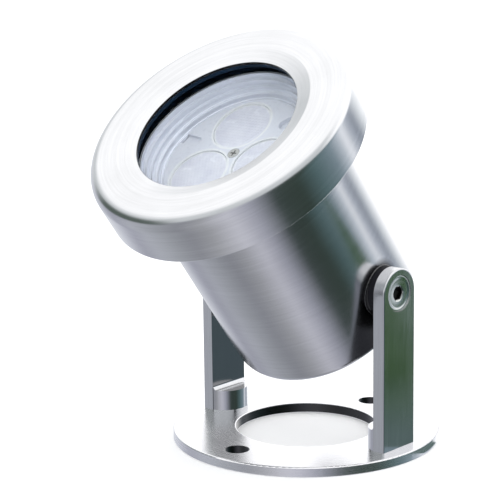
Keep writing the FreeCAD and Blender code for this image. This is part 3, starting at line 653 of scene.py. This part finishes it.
def make_gasket():
    """Angle-section gasket: a rounded lip over the glass and a skirt round its edge."""
    inner, outer, low, top = reach("front_gasket")
    _, glass_r, _, glass_top = reach("front_glass")
    lip_r = (top - glass_top) * LIP_ROUND
    corners = [
        (inner, glass_top, lip_r), (glass_r, glass_top, 0), (glass_r, low, 0), (outer, low, 0),
        (outer, top, 0), (inner, top, lip_r),
    ]
    turned("window_gasket", corners, "seal_rubber", "front_gasket")


def make_reflector():
    """Stepped reflector ring; its rounded treads catch the light as thin rings."""
    floor_r, outer, low, rim = reach("reflector_ring")
    lens_face = reach("lens_holder")[3]
    floor = lens_face - REFLECTOR_FLOOR
    top_r = outer - REFLECTOR_SKIN / 2
    tread = (top_r - floor_r) / REFLECTOR_STEPS
    drop = (rim - floor) / REFLECTOR_STEPS
    corners = [(outer, low, 0), (outer, rim, 0), (top_r, rim, STEP_ROUND)]
    for step in range(1, REFLECTOR_STEPS + 1):
        level = rim - step * drop
        corners.append((top_r - (step - 1) * tread, level, STEP_ROUND))
        corners.append((top_r - step * tread, level, STEP_ROUND))
    skin_r = outer - REFLECTOR_SKIN
    underside = floor - REFLECTOR_SKIN
    corners += [(floor_r, underside, 0), (skin_r, underside, 0), (skin_r, low, 0)]
    turned("reflector_steps", corners, "reflector_metal", "reflector_ring")


def bead_height(x, y):
    """Height of a hexagonal field of low round beads."""
    row_pitch = BEAD_PITCH * math.sqrt(3) / 2
    nearest = BEAD_PITCH
    row = round(y / row_pitch)
    for candidate in (row - 1, row, row + 1):
        shift = BEAD_PITCH / 2 * (candidate % 2)
        column = round((x - shift) / BEAD_PITCH)
        bead_x, bead_y = shift + column * BEAD_PITCH, candidate * row_pitch
        nearest = min(nearest, math.hypot(x - bead_x, y - bead_y))
    share = nearest / (BEAD_PITCH / math.sqrt(3))
    return BEAD_HEIGHT * (1 - share * share)


def make_lens(node):
    """Collimator lens with a beaded front face and a flared, hollow back."""
    centre, lens_r = lens_centre(node)
    foot, face = reach(node)[2:]
    flange = face - LENS_FLANGE_T
    well_top = foot + LENS_WELL_DEPTH
    sections = [(0, well_top + LENS_WELL_DOME), (LENS_WELL_R, well_top), (LENS_WELL_R, foot)]
    for i in range(LENS_CUP_RINGS):
        share = i / (LENS_CUP_RINGS - 1)
        flare = (lens_r - LENS_CUP_WALL - LENS_FOOT_R) * share ** LENS_CUP_CURVE
        sections.append((LENS_FOOT_R + flare, foot + (flange - foot) * share))
    sections += [(lens_r, flange), (lens_r, face - EDGE_R)]
    rings = [circle(radius, level, LENS_SEGMENTS) for radius, level in sections]
    bead_foot = face - BEAD_HEIGHT
    field_r = lens_r - EDGE_R
    radius = field_r
    while radius > 0:
        fade = min(1.0, (field_r - radius) / BEAD_PITCH)
        ring = circle(radius, bead_foot, LENS_SEGMENTS)
        rings.append([(x, y, level + fade * bead_height(x, y)) for x, y, level in ring])
        radius -= BEAD_RING_STEP
    rings.append([(0, 0, bead_foot + bead_height(0, 0))] * LENS_SEGMENTS)
    verts, faces = loft(rings)
    place = LAMP @ Matrix.Translation(centre)
    new_piece(node + "_beaded", verts, faces, "lens_acrylic", node, place=place)


def hex_radius(across_flats):
    """Distance from the centre to a hexagon's outline, as a function of the angle."""
    sixth = math.radians(60)
    return lambda angle: across_flats / 2 / math.cos((angle + sixth / 2) % sixth - sixth / 2)


def make_pivot_screw(side_name, side):
    """Countersunk socket screw with a turned face, a chamfered hexagon and a drilled bottom.

    Each stretch of its outline is a list of (radius, depth below the face).
    """
    node = "pivot_screw_" + side_name
    low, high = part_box(node)
    head_r = (high.y - low.y) / 2
    length = high.x - low.x
    outer_x = high.x if side > 0 else low.x
    socket = hex_radius(SOCKET_AF)
    shank = [(0, length), (SCREW_SHANK_R, length), (SCREW_SHANK_R, SCREW_RIM_T + head_r - SCREW_SHANK_R)]
    rim = [(head_r, SCREW_RIM_T), (head_r, 0.12 * MM), (head_r - 0.04 * MM, 0.04 * MM)]
    face = [(head_r - 0.12 * MM, 0), (head_r - 0.75 * MM, 0)]
    dish = [(head_r - 0.95 * MM, 0.14 * MM), (head_r - 1.5 * MM, 0.18 * MM), (SOCKET_AF * 0.66, 0.18 * MM)]
    chamfer = [(SOCKET_AF * 0.62, 0.22 * MM), (socket, 0.5 * MM)]
    drive = [(socket, SOCKET_DEPTH), (SOCKET_AF * 0.38, SOCKET_DEPTH), (0, SOCKET_DEPTH + SOCKET_DRILL_TIP)]
    sections = shank + rim + face + dish + chamfer + drive
    rings = [circle(radius, -depth, SCREW_SEGMENTS) for radius, depth in sections]
    verts, faces = loft(rings)
    turn = Matrix.Rotation(side * math.radians(90), 4, "Y")
    place = Matrix.Translation((outer_x, PIVOT.y, PIVOT.z)) @ turn
    new_piece("socket_screw_" + side_name, verts, faces, "screw_steel", node, place=place)


# ---------------------------------------------------------------- studio
CAMERA_AZIMUTH = math.radians(41.85)
CAMERA_ELEVATION = math.radians(12.84)
CAMERA_ROLL = math.radians(-0.736)
CAMERA_DISTANCE = 0.6215
CAMERA_LENS = 142.32      # focal length and sensor width, in millimetres as Blender takes them
CAMERA_SENSOR_W = 36
AIM_ASIDE = -0.01727      # aim point, along the picture's horizontal from the row's Z axis
AIM_HEIGHT = 0.06047


def make_camera():
    """Long-lens camera; back is the direction from the aim point to it."""
    azimuth, elevation = CAMERA_AZIMUTH, CAMERA_ELEVATION
    level_back = Vector((math.sin(azimuth), -math.cos(azimuth), 0))
    back = level_back * math.cos(elevation) + Vector((0, 0, math.sin(elevation)))
    right = Vector((math.cos(azimuth), math.sin(azimuth), 0))
    turned_right = Matrix.Rotation(CAMERA_ROLL, 3, back) @ right
    turned_up = back.cross(turned_right)
    camera = bpy.data.objects.new("camera", bpy.data.cameras.new("camera"))
    bpy.context.collection.objects.link(camera)
    camera.data.sensor_width = CAMERA_SENSOR_W
    camera.data.lens = CAMERA_LENS
    aim = right * AIM_ASIDE + Vector((0, 0, AIM_HEIGHT))
    rotation = Matrix((turned_right, turned_up, back)).transposed().to_4x4()
    camera.matrix_world = Matrix.Translation(aim + back * CAMERA_DISTANCE) @ rotation
    bpy.context.scene.camera = camera


# Colours of the studio below the horizon, as turns round the lamp's axis from BAND_START.
BAND_START = math.radians(145.4)
STUDIO_BANDS = [
    (0.03, (0.90, 0.92, 0.97)), (0.10, (0.70, 0.72, 0.80)), (0.15, (0.46, 0.47, 0.55)),
    (0.20, (0.56, 0.58, 0.64)), (0.26, (0.44, 0.46, 0.50)), (0.31, (0.34, 0.35, 0.39)),
    (0.36, (0.46, 0.47, 0.50)), (0.42, (0.74, 0.74, 0.82)), (0.47, (0.46, 0.47, 0.55)),
    (0.525, (0.055, 0.075, 0.070)), (0.59, (0.045, 0.065, 0.055)), (0.64, (0.11, 0.18, 0.19)),
    (0.70, (0.25, 0.33, 0.38)), (0.735, (0.70, 0.76, 0.84)), (0.752, (1.25, 1.27, 1.32)),
    (0.775, (0.58, 0.63, 0.72)), (0.81, (0.26, 0.30, 0.37)), (0.85, (0.9, 0.95, 1.0)),
    (0.90, (1.5, 1.5, 1.52)),
]
SKY_HIGH = (1.40, 1.40, 1.41)
SKY_LOW = (0.78, 0.81, 0.83)
SKY_BACK = (1.5, 1.5, 1.52)
DARK_WALL = (0.12, 0.15, 0.135)
DARK_WALL_HEADING = math.radians(214)
# Each fade runs between two values of a direction's dot product with the vector that it is named for.
HORIZON_FADE = (0.0, 0.2)         # up: bands to sky
HIGH_SKY_FADE = (0.40, 0.72)      # up: low sky to high sky
BACK_SKY_FADE = (0.2, 0.7)        # +Y: low sky to the brighter one behind the lamp
WALL_TOP_FADE = (0.46, 0.20)      # up
WALL_FOOT_FADE = (-0.16, -0.03)   # up
WALL_SIDE_FADE = (0.76, 0.95)     # the dark wall's heading
FLOOR_HALF = 8.0
FLOOR_DROP = 0.2 * MM     # below the feet
FLOOR_GLOW = 0.2
FLOOR_TONES = (0.91, 0.91, 0.91), (0.94, 0.94, 0.94)
BACKDROP_TONES = (0.97, 0.97, 0.97), (1.0, 1.0, 1.0)
FLAG_START = 8 * MM       # distances from the arm's outer face
FLAG_END = 300 * MM
FLAG_START_W = 20 * MM
FLAG_END_W = 70 * MM
FLAG_LIFT = 0.5 * MM
FLAG_GREENS = (0.050, 0.105, 0.044), (0.068, 0.135, 0.056)
FLAG_GREY = (0.13, 0.185, 0.18)   # at its near end; it turns green further out
FLAG_GREEN_FROM = 20 * MM
FLAG_GREEN_AT = 90 * MM


def band_colour(nodes, angle):
    """Colour of the studio bands at an angle round the lamp's axis."""
    from_start = nodes.math("SUBTRACT", angle, BAND_START)
    turns = nodes.math("FRACT", nodes.math("DIVIDE", from_start, math.tau))
    bands = nodes.add("ShaderNodeValToRGB")
    elements = bands.color_ramp.elements
    for element, (place, colour) in zip(elements, (STUDIO_BANDS[0], STUDIO_BANDS[-1])):
        element.position = place
        element.color = (*colour, 1)
    for place, colour in STUDIO_BANDS[1:-1]:
        elements.new(place).color = (*colour, 1)
    nodes.link(turns, bands.inputs[0])
    return bands.outputs[0]


def make_world():
    """White dome over the lamp, with darker bands below the horizon and a wall for the steel to mirror."""
    nodes = Nodes("studio", world=True)
    bpy.context.scene.world = nodes.owner
    direction = nodes.add("ShaderNodeTexCoord").outputs["Generated"]

    def along(vector):
        dot = nodes.add("ShaderNodeVectorMath", operation="DOT_PRODUCT")
        nodes.link(direction, dot.inputs[0])
        dot.inputs[1].default_value = vector
        return dot.outputs["Value"]

    def fade(value, ends):
        step = nodes.add("ShaderNodeMapRange", interpolation_type="SMOOTHSTEP")
        nodes.link(value, step.inputs["Value"])
        step.inputs["From Min"].default_value, step.inputs["From Max"].default_value = ends
        return step.outputs[0]

    height = along((0, 0, 1))
    bands = band_colour(nodes, nodes.math("ARCTAN2", along(UP_FACE), along(SIDE)))
    low_sky = nodes.blend(fade(along((0, 1, 0)), BACK_SKY_FADE), SKY_LOW, SKY_BACK)
    sky = nodes.blend(fade(height, HIGH_SKY_FADE), low_sky, SKY_HIGH)
    dome = nodes.blend(fade(height, HORIZON_FADE), bands, sky)
    heading = (math.cos(DARK_WALL_HEADING), math.sin(DARK_WALL_HEADING), 0)
    wall_height = nodes.math("MULTIPLY", fade(height, WALL_TOP_FADE), fade(height, WALL_FOOT_FADE))
    wall = nodes.math("MULTIPLY", fade(along(heading), WALL_SIDE_FADE), wall_height)
    background = nodes.add("ShaderNodeBackground")
    nodes.link(nodes.blend(wall, dome, DARK_WALL), background.inputs["Color"])
    nodes.show(background)


def stage_piece(name, mesh, nodes, *unseen_by):
    """Object of the studio, which the named kinds of ray don't see."""
    mesh.materials.append(nodes.owner)
    piece = bpy.data.objects.new(name, mesh)
    for sight in unseen_by:
        setattr(piece, "visible_" + sight, False)
    bpy.context.collection.objects.link(piece)
    return piece


def make_floor():
    """Pale floor. The steel mirrors the studio bands and not the floor."""
    nodes = Nodes("pale_floor")
    mottle = nodes.noise(nodes.coordinates(False), 6)
    colour = nodes.blend(nodes.spread(mottle, 0, 1), *FLOOR_TONES)
    nodes.principled(Base_Color=colour, Roughness=0.8, Specular_IOR_Level=0.0,
                     Emission_Color=(1, 1, 1, 1), Emission_Strength=FLOOR_GLOW)
    mesh = bpy.data.meshes.new("floor")
    corners = [(side_x * FLOOR_HALF, side_y * FLOOR_HALF, 0)
               for side_x, side_y in ((-1, -1), (1, -1), (1, 1), (-1, 1))]
    mesh.from_pydata(corners, [], [(0, 1, 2, 3)])
    floor = stage_piece("floor", mesh, nodes, "glossy")
    floor.location.z = -FLOOR_DROP


def make_backdrop():
    """Plain white dome behind everything, seen by the camera and not by the steel."""
    nodes = Nodes("backdrop")
    mottle = nodes.noise(nodes.coordinates(False), 0.2, 1.0)
    nodes.glow(nodes.blend(nodes.spread(mottle, 0, 1), *BACKDROP_TONES))
    dome = bmesh.new()
    bmesh.ops.create_uvsphere(dome, u_segments=48, v_segments=24, radius=FLOOR_HALF)
    mesh = bpy.data.meshes.new("backdrop")
    dome.to_mesh(mesh)
    dome.free()
    stage_piece("backdrop", mesh, nodes, "glossy", "diffuse", "transmission", "shadow")


def make_green_flag():
    """Dark green card that widens away from the right arm, where the arm's outer face mirrors it."""
    nodes = Nodes("green_flag")
    position = nodes.coordinates(False)
    mottle = nodes.noise(position, 30, 2.0)
    green = nodes.blend(nodes.spread(mottle, 0, 1), *FLAG_GREENS)
    away = nodes.spread(nodes.axis(position, "X"), 0, 1, FLAG_GREEN_FROM, FLAG_GREEN_AT)
    nodes.glow(nodes.blend(away, FLAG_GREY, green))
    mesh = bpy.data.meshes.new("green_flag")
    near_y, far_y = FLAG_START_W / 2, FLAG_END_W / 2
    corners = [(FLAG_START, -near_y, 0), (FLAG_END, -far_y, 0),
               (FLAG_END, far_y, 0), (FLAG_START, near_y, 0)]
    mesh.from_pydata(corners, [], [(0, 1, 2, 3)])
    flag = stage_piece("green_flag", mesh, nodes, "camera", "diffuse", "shadow")
    arm_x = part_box("arm_right")[1].x
    heading = Matrix.Rotation(math.pi / 2 - CAMERA_AZIMUTH, 4, "Z")
    flag.matrix_world = Matrix.Translation((arm_x, 0, FLAG_LIFT)) @ heading


def main():
    finish_cad_nodes()
    make_bezel()
    housing_r = make_housing()
    for side_name, side in (("right", 1), ("left", -1)):
        make_weld_bead(side, housing_r)
        make_pivot_screw(side_name, side)
    make_glass()
    make_gasket()
    make_reflector()
    for node in LENSES:
        make_lens(node)
    make_camera()
    make_world()
    make_floor()
    make_backdrop()
    make_green_flag()
    bpy.context.scene.view_settings.view_transform = "Standard"


main()
bpy.context.view_layer.update()
